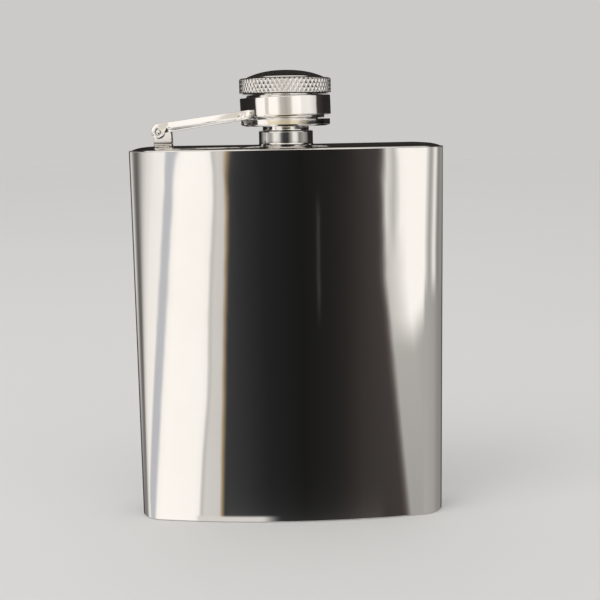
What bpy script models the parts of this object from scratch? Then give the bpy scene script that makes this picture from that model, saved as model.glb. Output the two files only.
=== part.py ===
"""Stainless steel hip flask with a captive screw top.

The body is a kidney-shaped can: a rounded rectangle bent around a vertical axis behind it, so its
front (-Y) is convex and its back (+Y) is concave. A knurled cap closes the neck. The cap turns in a
loose ring, and the ring hangs on a forked arm that swings on a rivet at the left shoulder (-X).
+Z is up, the base rests on z = 0, and heights in comments are above the body's top edge.
"""
import math

import bmesh
import bpy
from mathutils import Vector

MM = 0.001
GAP = 0.3 * MM                      # between pieces that touch

# Body
BODY_WIDTH = 95.0 * MM
BODY_HEIGHT = 114.0 * MM
BODY_THICKNESS = 21.0 * MM          # square to the wall, before the bend
FRONT_RADIUS = 205.7 * MM           # bend of the front face
CORNER_RADIUS = 8.3 * MM
SHEET = 0.8 * MM
CROWN = 1.2 * MM                    # rise of the top plate over the body's edge
PLATE_SKIRT = 2.0 * MM              # depth of the top plate's rim inside the wall

# Neck
NECK_BORE = 6.0 * MM
NECK_COLLAR_RADIUS = 8.1 * MM
NECK_COLLAR_TOP = 5.3 * MM
THREAD_ROOT = 6.9 * MM
THREAD_CREST = 7.4 * MM
THREAD_PITCH = 1.8 * MM
THREAD_TURNS = 3
NECK_TOP = 12.6 * MM
NECK_SPIGOT = 1.2 * MM              # depth of its end inside the top plate
NECK_CHAMFER = 0.3 * MM
NECK_LEAD = 0.4 * MM                # plain edge over the thread

# Cap, from its lower flange to its dome
CAP_RADIUS = 13.7 * MM              # over the knurl
FLANGE_RADIUS = 13.3 * MM
FLANGE_BOTTOM = 6.6 * MM
FLANGE_TOP = 8.7 * MM
HEAD_BOTTOM = 16.05 * MM
KNURL_TOP = 20.7 * MM
DOME_RADIUS = 11.4 * MM
DOME_EDGE = 21.0 * MM
DOME_TOP = 23.1 * MM
DOME_POWER = 2.4                    # over 2, so that the dome is flatter in its middle
BARREL_RADIUS = 11.6 * MM
SPIGOT_RADIUS = 9.7 * MM            # of the barrel's stubs in the head and the flange
SPIGOT_HEIGHT = 2.5 * MM
RECESS_DEPTH = 2.6 * MM             # in the head, over the barrel's upper stub
CAP_THREAD_TOP = 12.0 * MM
CAP_THREAD_CREST = 8.1 * MM         # clears the neck's thread, so the cap lifts off with the arm
CAP_THREAD_ROOT = 8.6 * MM
GASKET_RADIUS = 8.7 * MM
GASKET_THICKNESS = 1.0 * MM

# Captive ring
RING_RADIUS = 13.5 * MM
RING_BORE = 12.2 * MM
RING_HEIGHT = 5.8 * MM
RING_CENTRE = 12.4 * MM
RING_TILT = math.radians(1.7)       # it hangs lower on the arm's side

# Arm, bracket and rivet
PIVOT_X = -38.0 * MM
PIVOT_HEIGHT = 5.4 * MM
ARM_SLOPE = math.radians(7.7)
ARM_OFFSET = 1.05 * MM              # of a leg's middle line, above the rivet
ARM_DEPTH = 2.9 * MM                # height of a leg's flat side at the bend
ARM_TIP_DEPTH = 2.55 * MM           # and at its end
ARM_SHEET = 0.8 * MM
EYE_RADIUS = 2.0 * MM
EYE_SHOULDER = 0.3 * MM             # where the bar's rounded end begins, right of the rivet
LEG_OFFSET = 3.3 * MM               # outer face of a leg beside the bracket
LEG_SPREAD = 10.1 * MM              # outer face of a leg at the ring
LEG_BEND_X = -34.2 * MM
LEG_END_X = -10.4 * MM
WEB_START_X = -32.6 * MM
WEB_END_X = -23.5 * MM
RIVET_RADIUS = 0.6 * MM
RIVET_HEAD_RADIUS = 0.95 * MM
RIVET_HEAD = 0.3 * MM
RIVET_CHAMFER = 0.1 * MM
BRACKET_WIDTH = 5.4 * MM
BRACKET_OUTSIDE = 2.2 * MM          # half its size along the rivet
BRACKET_INSIDE = 1.4 * MM
BRACKET_TOP = 7.1 * MM
BRACKET_OFFSET = 1.2 * MM           # its middle, right of the rivet

TURNED_STEPS = 48
ROUND_STEPS = 32                    # of the rivet and the round cutters
CORNER_STEPS = 9
LONG_SIDE_STEPS = 22
EAR_STEPS = 12
EYE_STEPS = 9                       # in each half of a leg's round end
WEB_STEPS = 12
CUT_LENGTH = 20.0 * MM              # of a cutter, well past the piece that it cuts


# ---------------------------------------------------------------- scene and helpers

def clear_scene():
    for old in list(bpy.data.objects):
        bpy.data.objects.remove(old, do_unlink=True)


def new_collection(name):
    collection = bpy.data.collections.new(name)
    bpy.context.scene.collection.children.link(collection)
    return collection


def make_material(name, colour, roughness, metallic):
    material = bpy.data.materials.new(name)
    material.use_nodes = True
    shader = material.node_tree.nodes["Principled BSDF"]
    shader.inputs["Base Color"].default_value = (*colour, 1.0)
    shader.inputs["Roughness"].default_value = roughness
    shader.inputs["Metallic"].default_value = metallic
    return material


def add_object(name, mesh, collection, parent=None, material=None):
    thing = bpy.data.objects.new(name, mesh)
    collection.objects.link(thing)
    thing.parent = parent
    if material:
        mesh.materials.append(material)
    return thing


def add_empty(name, location, collection, parent=None):
    empty = bpy.data.objects.new(name, None)
    empty.empty_display_size = 0.01
    empty.location = location
    empty.parent = parent
    collection.objects.link(empty)
    return empty


def mesh_from(bm, name):
    mesh = bpy.data.meshes.new(name)
    bm.to_mesh(mesh)
    bm.free()
    return mesh


def shade_round(thing, angle=35.0):
    thing.data.shade_smooth()
    thing.data.set_sharp_from_angle(angle=math.radians(angle))


def prism(name, outline, low, high):
    """Mesh of a flat outline in XY, raised from low to high."""
    bm = bmesh.new()
    floor = bm.faces.new([bm.verts.new((x, y, low)) for x, y in outline])
    raised = bmesh.ops.extrude_face_region(bm, geom=[floor])
    moved = [v for v in raised["geom"] if isinstance(v, bmesh.types.BMVert)]
    bmesh.ops.translate(bm, verts=moved, vec=(0, 0, high - low))
    bmesh.ops.recalc_face_normals(bm, faces=bm.faces)
    return mesh_from(bm, name)


def turned_mesh(name, profile, closed):
    """Mesh of a turning profile: (radius, height) pairs that run down the outer side."""
    bm = bmesh.new()
    points = [bm.verts.new((radius, 0, height)) for radius, height in profile]
    for first, second in zip(points, points[1:]):
        bm.edges.new((first, second))
    if closed:
        bm.edges.new((points[-1], points[0]))
    return mesh_from(bm, name)


def turn(thing, steps=TURNED_STEPS):
    screw = thing.modifiers.new("Turn", "SCREW")
    screw.steps = steps
    screw.render_steps = steps
    screw.use_merge_vertices = True
    screw.merge_threshold = 0.00001
    screw.use_smooth_shade = True


def turned(name, profile, collection, parent, material, closed=True):
    thing = add_object(name, turned_mesh(name, profile, closed), collection, parent, material)
    turn(thing)
    return thing


def solidify(thing, thickness):
    shell = thing.modifiers.new("Sheet", "SOLIDIFY")
    shell.thickness = thickness
    shell.offset = -1.0
    shell.use_even_offset = True


def boolean(thing, other, operation):
    cut = thing.modifiers.new(operation.title(), "BOOLEAN")
    cut.operation = operation
    cut.solver = "EXACT"
    cut.object = other


def guide(thing):
    thing.display_type = "WIRE"
    thing.hide_render = True
    return thing


def cylinder_cutter(name, radius, location, rotation, cutters, parent):
    bm = bmesh.new()
    bmesh.ops.create_cone(bm, cap_ends=True, segments=ROUND_STEPS, radius1=radius, radius2=radius,
                          depth=CUT_LENGTH)
    cutter = guide(add_object(name, mesh_from(bm, name), cutters, parent))
    cutter.location = location
    cutter.rotation_euler = rotation
    return cutter


def box_cutter(name, size, location, cutters, parent):
    bm = bmesh.new()
    bmesh.ops.create_cube(bm, size=1.0)
    bmesh.ops.scale(bm, vec=size, verts=bm.verts)
    cutter = guide(add_object(name, mesh_from(bm, name), cutters, parent))
    cutter.location = location
    return cutter


# ---------------------------------------------------------------- the body's section

def arc(centre, radius, start, end, steps):
    """(point, outward normal) pairs; angles run from -Y towards +X."""
    pairs = []
    for step in range(steps):
        angle = start + (end - start) * step / steps
        normal = Vector((math.sin(angle), -math.cos(angle)))
        pairs.append((centre + abs(radius) * normal, normal if radius > 0 else -normal))
    return pairs


def section():
    """The kidney section as (point, outward normal) pairs, the middle of its front at -Y."""
    back_radius = FRONT_RADIUS - BODY_THICKNESS
    bend_centre = Vector((0, FRONT_RADIUS - BODY_THICKNESS / 2))
    front_reach = FRONT_RADIUS - CORNER_RADIUS
    back_reach = back_radius + CORNER_RADIUS
    front_angle = math.asin((BODY_WIDTH / 2 - CORNER_RADIUS) / front_reach)
    end_angle = front_angle + math.asin(CORNER_RADIUS / front_reach)
    back_angle = end_angle - math.asin(CORNER_RADIUS / back_reach)

    def on_bend(radius, angle):
        return bend_centre + radius * Vector((math.sin(angle), -math.cos(angle)))

    def corner(reach, angle, start, end):
        return arc(on_bend(reach, angle), CORNER_RADIUS, start, end, CORNER_STEPS)

    side = math.pi / 2 + end_angle
    pairs = arc(bend_centre, FRONT_RADIUS, -front_angle, front_angle, LONG_SIDE_STEPS)
    pairs += corner(front_reach, front_angle, front_angle, side)
    pairs += corner(back_reach, back_angle, side, math.pi + back_angle)
    pairs += arc(bend_centre, -back_radius, back_angle, -back_angle, LONG_SIDE_STEPS)
    pairs += corner(back_reach, -back_angle, math.pi - back_angle, 2 * math.pi - side)
    pairs += corner(front_reach, -front_angle, -side, -front_angle)
    return pairs


def outline(inset):
    return [tuple(point - inset * normal) for point, normal in section()]


def cap_axis_y():
    """Y of the cap's axis in the part's frame, which is centred on the flask's box."""
    back = max(y for _, y in outline(0))
    return (CAP_RADIUS - back) / 2


# ---------------------------------------------------------------- the can

def body_shell(collection, parent, steel):
    """The wrapped wall: the outline raised to full height, thickened inwards."""
    bm = bmesh.new()
    ring = [bm.verts.new((x, y, 0)) for x, y in outline(0)]
    edges = [bm.edges.new(pair) for pair in zip(ring, ring[1:] + ring[:1])]
    raised = bmesh.ops.extrude_edge_only(bm, edges=edges)
    moved = [v for v in raised["geom"] if isinstance(v, bmesh.types.BMVert)]
    bmesh.ops.translate(bm, verts=moved, vec=(0, 0, BODY_HEIGHT))
    bmesh.ops.recalc_face_normals(bm, faces=bm.faces)
    wall = add_object("body_shell", mesh_from(bm, "body_shell"), collection, parent, steel)
    front = min(wall.data.polygons, key=lambda face: face.center.y)
    if front.normal.y > 0:
        wall.data.flip_normals()
    solidify(wall, SHEET)
    shade_round(wall)
    return wall


def base_plate(collection, parent, steel):
    """The flat bottom, set inside the wall and level with its lower edge."""
    mesh = prism("base_plate", outline(SHEET + GAP), 0, SHEET)
    return add_object("base_plate", mesh, collection, parent, steel)


def top_plate(collection, cutters, parent, steel):
    """The crowned top: a shallow pan with a rounded edge and a hole for the neck."""
    mesh = prism("top_plate", outline(SHEET + GAP), BODY_HEIGHT - PLATE_SKIRT, BODY_HEIGHT + CROWN)
    bm = bmesh.new()
    bm.from_mesh(mesh)
    under = [face for face in bm.faces if face.normal.z < -0.9]
    bmesh.ops.delete(bm, geom=under, context="FACES_ONLY")
    rim = [edge for edge in bm.edges
           if all(v.co.z > BODY_HEIGHT for v in edge.verts)]
    bmesh.ops.bevel(bm, geom=rim, offset=CROWN, offset_type="OFFSET", segments=4, profile=0.5,
                    affect="EDGES")
    bm.to_mesh(mesh)
    bm.free()
    plate = add_object("top_plate", mesh, collection, parent, steel)
    solidify(plate, SHEET)
    hole = cylinder_cutter("neck_hole", THREAD_CREST + GAP, (0, 0, BODY_HEIGHT), (0, 0, 0),
                           cutters, parent)
    boolean(plate, hole, "DIFFERENCE")
    shade_round(plate)
    return plate


def ridges(root, crest, top):
    """Thread ridges down a turned wall, from the height top; drops are in pitches."""
    corners = ((root, 0), (crest, 0.25), (crest, 0.45), (root, 0.7))
    return [(radius, top - (turn_number + drop) * THREAD_PITCH)
            for turn_number in range(THREAD_TURNS) for radius, drop in corners]


def neck(collection, parent, steel):
    """The spout: a collar that stands on the top plate, a thread above it, a spigot below."""
    shoulder = CROWN + GAP
    profile = [(NECK_BORE, NECK_TOP), (THREAD_ROOT - NECK_CHAMFER, NECK_TOP)]
    profile += ridges(THREAD_ROOT, THREAD_CREST, NECK_TOP - NECK_LEAD)
    profile += [(THREAD_ROOT, NECK_COLLAR_TOP), (NECK_COLLAR_RADIUS - NECK_CHAMFER, NECK_COLLAR_TOP),
                (NECK_COLLAR_RADIUS, NECK_COLLAR_TOP - NECK_CHAMFER), (NECK_COLLAR_RADIUS, shoulder),
                (THREAD_CREST, shoulder), (THREAD_CREST, -NECK_SPIGOT), (NECK_BORE, -NECK_SPIGOT)]
    profile = [(radius, BODY_HEIGHT + height) for radius, height in profile]
    return turned("neck", profile, collection, parent, steel)


# ---------------------------------------------------------------- hinge

def hinge_bracket(collection, cutters, parent, steel):
    """A U of sheet welded to the top plate, its two ears rounded over the rivet."""
    foot = BODY_HEIGHT + CROWN + GAP
    height = BODY_HEIGHT + BRACKET_TOP - foot
    half = BRACKET_WIDTH / 2
    crest = height - half
    shape = [(-half, 0), (half, 0)]
    for step in range(EAR_STEPS + 1):
        angle = math.pi * step / EAR_STEPS
        shape.append((half * math.cos(angle), crest + half * math.sin(angle)))
    mesh = prism("hinge_bracket", shape, -BRACKET_OUTSIDE, BRACKET_OUTSIDE)
    bracket = add_object("hinge_bracket", mesh, collection, parent, steel)
    bracket.location = (PIVOT_X + BRACKET_OFFSET, 0, foot)
    bracket.rotation_euler = (math.pi / 2, 0, 0)
    channel = box_cutter("bracket_channel", (CUT_LENGTH, 2 * BRACKET_INSIDE, CUT_LENGTH),
                         (PIVOT_X, 0, foot + SHEET + CUT_LENGTH / 2), cutters, parent)
    boolean(bracket, channel, "DIFFERENCE")
    hole = cylinder_cutter("bracket_hole", RIVET_RADIUS + GAP,
                           (PIVOT_X, 0, BODY_HEIGHT + PIVOT_HEIGHT), (math.pi / 2, 0, 0),
                           cutters, parent)
    boolean(bracket, hole, "DIFFERENCE")
    return bracket


def hinge_rivet(collection, parent, steel):
    """A rivet along Y with a peened head outside each leg."""
    seat = LEG_OFFSET + GAP
    end = seat + RIVET_HEAD
    flat = 0.7 * RIVET_HEAD_RADIUS
    profile = [(0, end), (flat, end), (RIVET_HEAD_RADIUS, end - RIVET_CHAMFER),
               (RIVET_HEAD_RADIUS, seat), (RIVET_RADIUS, seat)]
    profile += [(radius, -height) for radius, height in reversed(profile)]
    rivet = add_object("hinge_rivet", turned_mesh("hinge_rivet", profile, False), collection, parent,
                       steel)
    turn(rivet, ROUND_STEPS)
    rivet.location = (PIVOT_X, 0, BODY_HEIGHT + PIVOT_HEIGHT)
    rivet.rotation_euler = (math.pi / 2, 0, 0)
    return rivet


def leg_height(x):
    """Height of a leg's middle line over the rivet, at x from the rivet."""
    return x * math.tan(ARM_SLOPE) + ARM_OFFSET / math.cos(ARM_SLOPE)


def eye_outline():
    """Round end of a leg about the rivet, from the bar's upper edge round to its lower edge."""
    crest = ARM_OFFSET + ARM_DEPTH / 2
    drop = math.asin((ARM_DEPTH / 2 - ARM_OFFSET) / EYE_RADIUS)
    along_up = []
    for step in range(EYE_STEPS):
        angle = math.pi / 2 * step / EYE_STEPS
        along = EYE_SHOULDER - (EYE_SHOULDER + EYE_RADIUS) * math.sin(angle)
        along_up.append((along, crest * math.cos(angle)))
    for step in range(EYE_STEPS + 1):
        angle = math.pi + (math.pi - drop) * step / EYE_STEPS
        along_up.append((EYE_RADIUS * math.cos(angle), EYE_RADIUS * math.sin(angle)))
    cos, sin = math.cos(ARM_SLOPE), math.sin(ARM_SLOPE)
    return [(along * cos - up * sin, along * sin + up * cos) for along, up in along_up]


def leg_surface():
    """Outer face of the front leg from the pivot: a round eye, a bend and a straight bar."""
    bend = LEG_BEND_X - PIVOT_X
    end = LEG_END_X - PIVOT_X
    half = ARM_DEPTH / 2 / math.cos(ARM_SLOPE)
    half_end = ARM_TIP_DEPTH / 2 / math.cos(ARM_SLOPE)
    near, far = -LEG_OFFSET, -LEG_SPREAD
    bm = bmesh.new()
    low_bend = bm.verts.new((bend, near, leg_height(bend) - half))
    high_bend = bm.verts.new((bend, near, leg_height(bend) + half))
    eye = [bm.verts.new((x, near, z)) for x, z in eye_outline()]
    low_end = bm.verts.new((end, far, leg_height(end) - half_end))
    high_end = bm.verts.new((end, far, leg_height(end) + half_end))
    bm.faces.new([high_bend] + eye + [low_bend])
    bm.faces.new([high_bend, low_bend, low_end, high_end])
    bmesh.ops.recalc_face_normals(bm, faces=bm.faces)
    bm.faces.ensure_lookup_table()
    if bm.faces[0].normal.y > 0:
        bmesh.ops.reverse_faces(bm, faces=bm.faces)
    return mesh_from(bm, "swing_arm")


def leg_face_y(x):
    """Y of the front leg's outer face at x, beyond the bend."""
    share = (x - LEG_BEND_X) / (LEG_END_X - LEG_BEND_X)
    return -(LEG_OFFSET + share * (LEG_SPREAD - LEG_OFFSET))


def arm_web(cutters, parent):
    """The bridge between the legs near the hinge, hollowed towards the ring."""
    inside = ARM_SHEET / 2
    below = 0.15 * MM
    start, end = WEB_START_X - PIVOT_X, WEB_END_X - PIVOT_X
    half_start = -leg_face_y(WEB_START_X) - inside
    half_end = -leg_face_y(WEB_END_X) - inside
    shape = [(start, half_start), (start, -half_start), (end, -half_end)]
    hollow = 3.0 * MM
    for step in range(1, WEB_STEPS):
        share = step / WEB_STEPS
        shape.append((end - hollow * math.sin(math.pi * share), half_end * (2 * share - 1)))
    shape.append((end, half_end))
    high = ARM_OFFSET + ARM_DEPTH / 2 - below
    mesh = prism("arm_web", shape, high - ARM_SHEET, high)
    web = guide(add_object("arm_web", mesh, cutters, parent))
    web.rotation_euler = (0, -ARM_SLOPE, 0)
    return web


def swing_arm(collection, cutters, pivot, steel):
    """The fork: two flat legs with round eyes, joined by a web near the hinge."""
    arm = add_object("swing_arm", leg_surface(), collection, pivot, steel)
    solidify(arm, ARM_SHEET)
    mirror = arm.modifiers.new("Rear leg", "MIRROR")
    mirror.use_axis = (False, True, False)
    mirror.merge_threshold = 0.00001
    boolean(arm, arm_web(cutters, pivot), "UNION")
    hole = cylinder_cutter("eye_hole", RIVET_RADIUS + GAP, (0, 0, 0), (math.pi / 2, 0, 0),
                           cutters, pivot)
    boolean(arm, hole, "DIFFERENCE")
    return arm


# ---------------------------------------------------------------- cap and its ring

def captive_ring(collection, parent, steel):
    """The loose ring that the cap turns in, tilted as it hangs."""
    half = RING_HEIGHT / 2
    edge = 0.4 * MM
    profile = [(RING_BORE, half), (RING_RADIUS - edge, half), (RING_RADIUS, half - edge),
               (RING_RADIUS, edge - half), (RING_RADIUS - edge, -half), (RING_BORE, -half)]
    ring = turned("captive_ring", profile, collection, parent, steel)
    ring.rotation_euler = (0, -RING_TILT, 0)
    return ring


def dome(steps=6):
    """Points of the cap's low dome from its centre to its edge."""
    points = []
    for step in range(steps + 1):
        share = step / steps
        fall = (DOME_TOP - DOME_EDGE) * share ** DOME_POWER
        points.append((DOME_RADIUS * share, DOME_TOP - fall))
    return points


def cap_head(collection, parent, steel):
    """The knurled crown with its low dome, hollowed below for the barrel's stub."""
    recess = SPIGOT_RADIUS + GAP
    chamfer = 0.4 * MM
    groove = 0.1 * MM
    profile = dome()
    profile += [(DOME_RADIUS + groove, KNURL_TOP + groove / 2), (CAP_RADIUS - chamfer, KNURL_TOP),
                (CAP_RADIUS, KNURL_TOP - chamfer), (CAP_RADIUS, HEAD_BOTTOM + chamfer),
                (CAP_RADIUS - chamfer, HEAD_BOTTOM), (recess, HEAD_BOTTOM),
                (recess, HEAD_BOTTOM + RECESS_DEPTH), (0, HEAD_BOTTOM + RECESS_DEPTH)]
    return turned("cap_head", profile, collection, parent, steel, closed=False)


def cap_barrel(collection, parent, steel):
    """The threaded socket through the ring, with a stub in the head and one in the flange."""
    ceiling = NECK_TOP + GAP + GASKET_THICKNESS + GAP
    shoulder = FLANGE_TOP + GAP
    top = HEAD_BOTTOM - GAP
    mouth = FLANGE_BOTTOM + GAP
    seat_radius = GASKET_RADIUS + GAP
    seat = NECK_TOP + GAP / 3
    profile = [(0, top + SPIGOT_HEIGHT), (SPIGOT_RADIUS, top + SPIGOT_HEIGHT), (SPIGOT_RADIUS, top),
               (BARREL_RADIUS, top), (BARREL_RADIUS, shoulder), (SPIGOT_RADIUS, shoulder),
               (SPIGOT_RADIUS, mouth), (CAP_THREAD_ROOT, mouth)]
    profile += ridges(CAP_THREAD_ROOT, CAP_THREAD_CREST, CAP_THREAD_TOP)[::-1]
    profile += [(CAP_THREAD_ROOT, seat), (seat_radius, seat), (seat_radius, ceiling), (0, ceiling)]
    return turned("cap_barrel", profile, collection, parent, steel, closed=False)


def cap_flange(collection, parent, steel):
    """The lower rim that keeps the ring on the barrel, rounded underneath."""
    bore = SPIGOT_RADIUS + GAP
    chamfer = 0.2 * MM
    edge = 0.4 * MM
    profile = [(bore, FLANGE_TOP), (FLANGE_RADIUS - chamfer, FLANGE_TOP),
               (FLANGE_RADIUS, FLANGE_TOP - chamfer)]
    for step in range(5):
        angle = math.pi / 2 * step / 4
        profile.append((FLANGE_RADIUS - edge + edge * math.cos(angle),
                        FLANGE_BOTTOM + edge - edge * math.sin(angle)))
    profile.append((bore, FLANGE_BOTTOM))
    return turned("cap_flange", profile, collection, parent, steel)


def cap_gasket(collection, parent, rubber):
    """The sealing disc over the neck's mouth."""
    low = NECK_TOP + GAP
    high = low + GASKET_THICKNESS
    profile = [(0, high), (GASKET_RADIUS, high), (GASKET_RADIUS, low), (0, low)]
    return turned("cap_gasket", profile, collection, parent, rubber, closed=False)


def build():
    clear_scene()
    flask = new_collection("hip_flask")
    cutters = new_collection("cutters")
    polished = make_material("polished_steel", (0.78, 0.77, 0.75), 0.04, 1.0)
    knurled = make_material("knurled_steel", (0.74, 0.73, 0.71), 0.22, 1.0)
    turned_steel = make_material("turned_steel", (0.72, 0.71, 0.69), 0.14, 1.0)
    spring_steel = make_material("arm_steel", (0.80, 0.79, 0.77), 0.12, 1.0)
    rubber = make_material("gasket_rubber", (0.82, 0.80, 0.76), 0.55, 0.0)

    axis = add_empty("flask_axis", (0, cap_axis_y(), 0), flask)
    pivot = add_empty("arm_pivot", (PIVOT_X, 0, BODY_HEIGHT + PIVOT_HEIGHT), flask, axis)
    ring_centre = add_empty("ring_centre", (-PIVOT_X, 0, RING_CENTRE - PIVOT_HEIGHT), flask, pivot)
    cap_axis = add_empty("cap_axis", (-PIVOT_X, 0, -PIVOT_HEIGHT), flask, pivot)

    body_shell(flask, axis, polished)
    base_plate(flask, axis, polished)
    top_plate(flask, cutters, axis, polished)
    neck(flask, axis, turned_steel)
    hinge_bracket(flask, cutters, axis, turned_steel)
    hinge_rivet(flask, axis, turned_steel)
    swing_arm(flask, cutters, pivot, spring_steel)
    captive_ring(flask, ring_centre, spring_steel)
    cap_head(flask, cap_axis, knurled)
    cap_barrel(flask, cap_axis, turned_steel)
    cap_flange(flask, cap_axis, spring_steel)
    cap_gasket(flask, cap_axis, rubber)


build()
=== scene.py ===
import math

import bmesh
import bpy
import numpy as np
from mathutils import Matrix, Vector

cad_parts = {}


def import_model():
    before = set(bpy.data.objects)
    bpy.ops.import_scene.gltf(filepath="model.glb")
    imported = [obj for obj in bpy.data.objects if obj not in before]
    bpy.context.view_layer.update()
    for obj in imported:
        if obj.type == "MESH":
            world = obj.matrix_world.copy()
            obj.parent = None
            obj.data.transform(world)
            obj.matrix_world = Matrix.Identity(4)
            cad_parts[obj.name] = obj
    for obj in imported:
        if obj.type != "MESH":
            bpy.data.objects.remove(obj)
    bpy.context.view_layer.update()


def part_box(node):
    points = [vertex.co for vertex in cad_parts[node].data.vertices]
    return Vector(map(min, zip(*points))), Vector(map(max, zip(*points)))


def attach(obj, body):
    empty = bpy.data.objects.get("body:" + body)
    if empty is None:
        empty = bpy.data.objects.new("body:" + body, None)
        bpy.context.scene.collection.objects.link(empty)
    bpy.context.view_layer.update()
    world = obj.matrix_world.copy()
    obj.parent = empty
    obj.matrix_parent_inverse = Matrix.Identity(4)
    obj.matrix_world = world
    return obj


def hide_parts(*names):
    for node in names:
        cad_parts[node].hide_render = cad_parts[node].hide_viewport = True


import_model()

MM = 0.001

# Body, in mm
FRONT_BEND = 205.7
THICKNESS = 21.0
CORNER = 8.3
CROWN = 1.2

body_low, body_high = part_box("body_shell")
HALF_WIDTH = body_high[0] / MM
BODY_TOP = body_high[2] / MM
BEND_CENTRE_Y = body_low[1] / MM + FRONT_BEND
head_low, head_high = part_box("cap_head")
AXIS_Y = (head_low[1] + head_high[1]) / 2 / MM
HEAD_LOW = head_low[2] / MM
HEAD_HIGH = head_high[2] / MM
KNURL_HIGH = HEAD_LOW + 4.65
rivet_low, rivet_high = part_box("hinge_rivet")
PIVOT_X = (rivet_low[0] + rivet_high[0]) / 2 / MM
PIVOT_Z = (rivet_low[2] + rivet_high[2]) / 2 / MM
ring_low, ring_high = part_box("captive_ring")
RING_Z = (ring_low[2] + ring_high[2]) / 2 / MM
flange_low, flange_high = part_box("cap_flange")
FLANGE_LOW = flange_low[2] / MM
FLANGE_HIGH = flange_high[2] / MM
bracket_low, bracket_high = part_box("hinge_bracket")
BRACKET_X = (bracket_low[0] + bracket_high[0]) / 2 / MM
BRACKET_HIGH = bracket_high[2] / MM

# Camera, in mm and radians
CAMERA = Vector((-0.27, -334.45, 122.17))
CAMERA_YAW = -0.0109
CAMERA_PITCH = -0.1617
CAMERA_ROLL = 0.0173
LENS = 65.99


# ---------------------------------------------------------------- mesh helpers

def add(name, verts, faces, material):
    """A mesh object from points in mm."""
    mesh = bpy.data.meshes.new(name)
    mesh.from_pydata([tuple(c * MM for c in v) for v in verts], [], faces)
    bm = bmesh.new()
    bm.from_mesh(mesh)
    bmesh.ops.remove_doubles(bm, verts=bm.verts, dist=1e-7)
    bmesh.ops.recalc_face_normals(bm, faces=bm.faces)
    bm.to_mesh(mesh)
    bm.free()
    mesh.materials.append(material)
    mesh.shade_smooth()
    mesh.set_sharp_from_angle(angle=math.radians(40))
    thing = bpy.data.objects.new(name, mesh)
    bpy.context.scene.collection.objects.link(thing)
    return thing


def quads(rows, columns, wrap_columns=True, wrap_rows=False):
    faces = []
    for i in range(rows if wrap_rows else rows - 1):
        for j in range(columns if wrap_columns else columns - 1):
            k = (i + 1) % rows
            m = (j + 1) % columns
            faces.append((i * columns + j, i * columns + m, k * columns + m, k * columns + j))
    return faces


def turned(name, profile, material, steps=160, shape=None, centre=(0.0, None, 0.0), close=True):
    """A turned piece: the profile runs (radius, height) in mm; shape may change a radius."""
    cx, cy, cz = centre
    cy = AXIS_Y if cy is None else cy
    verts = []
    for r, z in profile:
        for j in range(steps):
            a = 2 * math.pi * j / steps
            rr = shape(a, r, z) if shape else r
            verts.append((cx + rr * math.sin(a), cy - rr * math.cos(a), cz + z))
    return add(name, verts, quads(len(profile), steps, True, close), material)


def fillet(points, radius, steps=5):
    """The open or closed profile with its corners rounded; radius is one number or one a corner."""
    out = []
    n = len(points)
    for i, p in enumerate(points):
        r = radius[i] if isinstance(radius, (list, tuple)) else radius
        if r <= 0:
            out.append(p)
            continue
        p0 = Vector(points[i - 1])
        p1 = Vector(p)
        p2 = Vector(points[(i + 1) % n])
        a = (p0 - p1).normalized()
        b = (p2 - p1).normalized()
        reach = min(r, 0.45 * (p0 - p1).length, 0.45 * (p2 - p1).length)
        for k in range(steps + 1):
            t = k / steps
            q = p1 + a * reach * (1 - t) ** 2 + b * reach * t ** 2
            out.append((q.x, q.y))
    return out


def apply_modifiers(thing):
    depsgraph = bpy.context.evaluated_depsgraph_get()
    mesh = bpy.data.meshes.new_from_object(thing.evaluated_get(depsgraph))
    thing.modifiers.clear()
    thing.data = mesh
    return thing


def smoothstep(a, b, v):
    t = np.clip((v - a) / (b - a), 0.0, 1.0)
    return t * t * (3 - 2 * t)


# ---------------------------------------------------------------- materials

def nodes_of(name):
    material = bpy.data.materials.new(name)
    material.use_nodes = True
    tree = material.node_tree
    shader = tree.nodes["Principled BSDF"]
    shader.inputs["Metallic"].default_value = 1.0
    return material, tree, shader


def noise(tree, coords, scale, detail=3.0, stretch=(1, 1, 1), rough=0.5, distortion=0.0):
    mapping = tree.nodes.new("ShaderNodeMapping")
    mapping.inputs["Scale"].default_value = stretch
    tree.links.new(coords, mapping.inputs["Vector"])
    node = tree.nodes.new("ShaderNodeTexNoise")
    node.inputs["Scale"].default_value = scale
    node.inputs["Detail"].default_value = detail
    node.inputs["Roughness"].default_value = rough
    node.inputs["Distortion"].default_value = distortion
    tree.links.new(mapping.outputs["Vector"], node.inputs["Vector"])
    return node.outputs["Fac"]


def spread(tree, value, low, high, to_low, to_high):
    node = tree.nodes.new("ShaderNodeMapRange")
    node.inputs["From Min"].default_value = low
    node.inputs["From Max"].default_value = high
    node.inputs["To Min"].default_value = to_low
    node.inputs["To Max"].default_value = to_high
    tree.links.new(value, node.inputs["Value"])
    return node.outputs["Result"]


def combine(tree, a, b, operation="ADD"):
    node = tree.nodes.new("ShaderNodeMath")
    node.operation = operation
    for socket, value in zip(node.inputs, (a, b)):
        if isinstance(value, (int, float)):
            socket.default_value = value
        else:
            tree.links.new(value, socket)
    return node.outputs["Value"]


def tint(tree, value, first, second):
    mix = tree.nodes.new("ShaderNodeMix")
    mix.data_type = "RGBA"
    mix.inputs["A"].default_value = (*first, 1)
    mix.inputs["B"].default_value = (*second, 1)
    tree.links.new(value, mix.inputs["Factor"])
    return mix.outputs["Result"]


def relief(tree, shader, height, distance, strength=1.0):
    bump = tree.nodes.new("ShaderNodeBump")
    bump.inputs["Strength"].default_value = strength
    bump.inputs["Distance"].default_value = distance
    tree.links.new(height, bump.inputs["Height"])
    tree.links.new(bump.outputs["Normal"], shader.inputs["Normal"])


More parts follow.
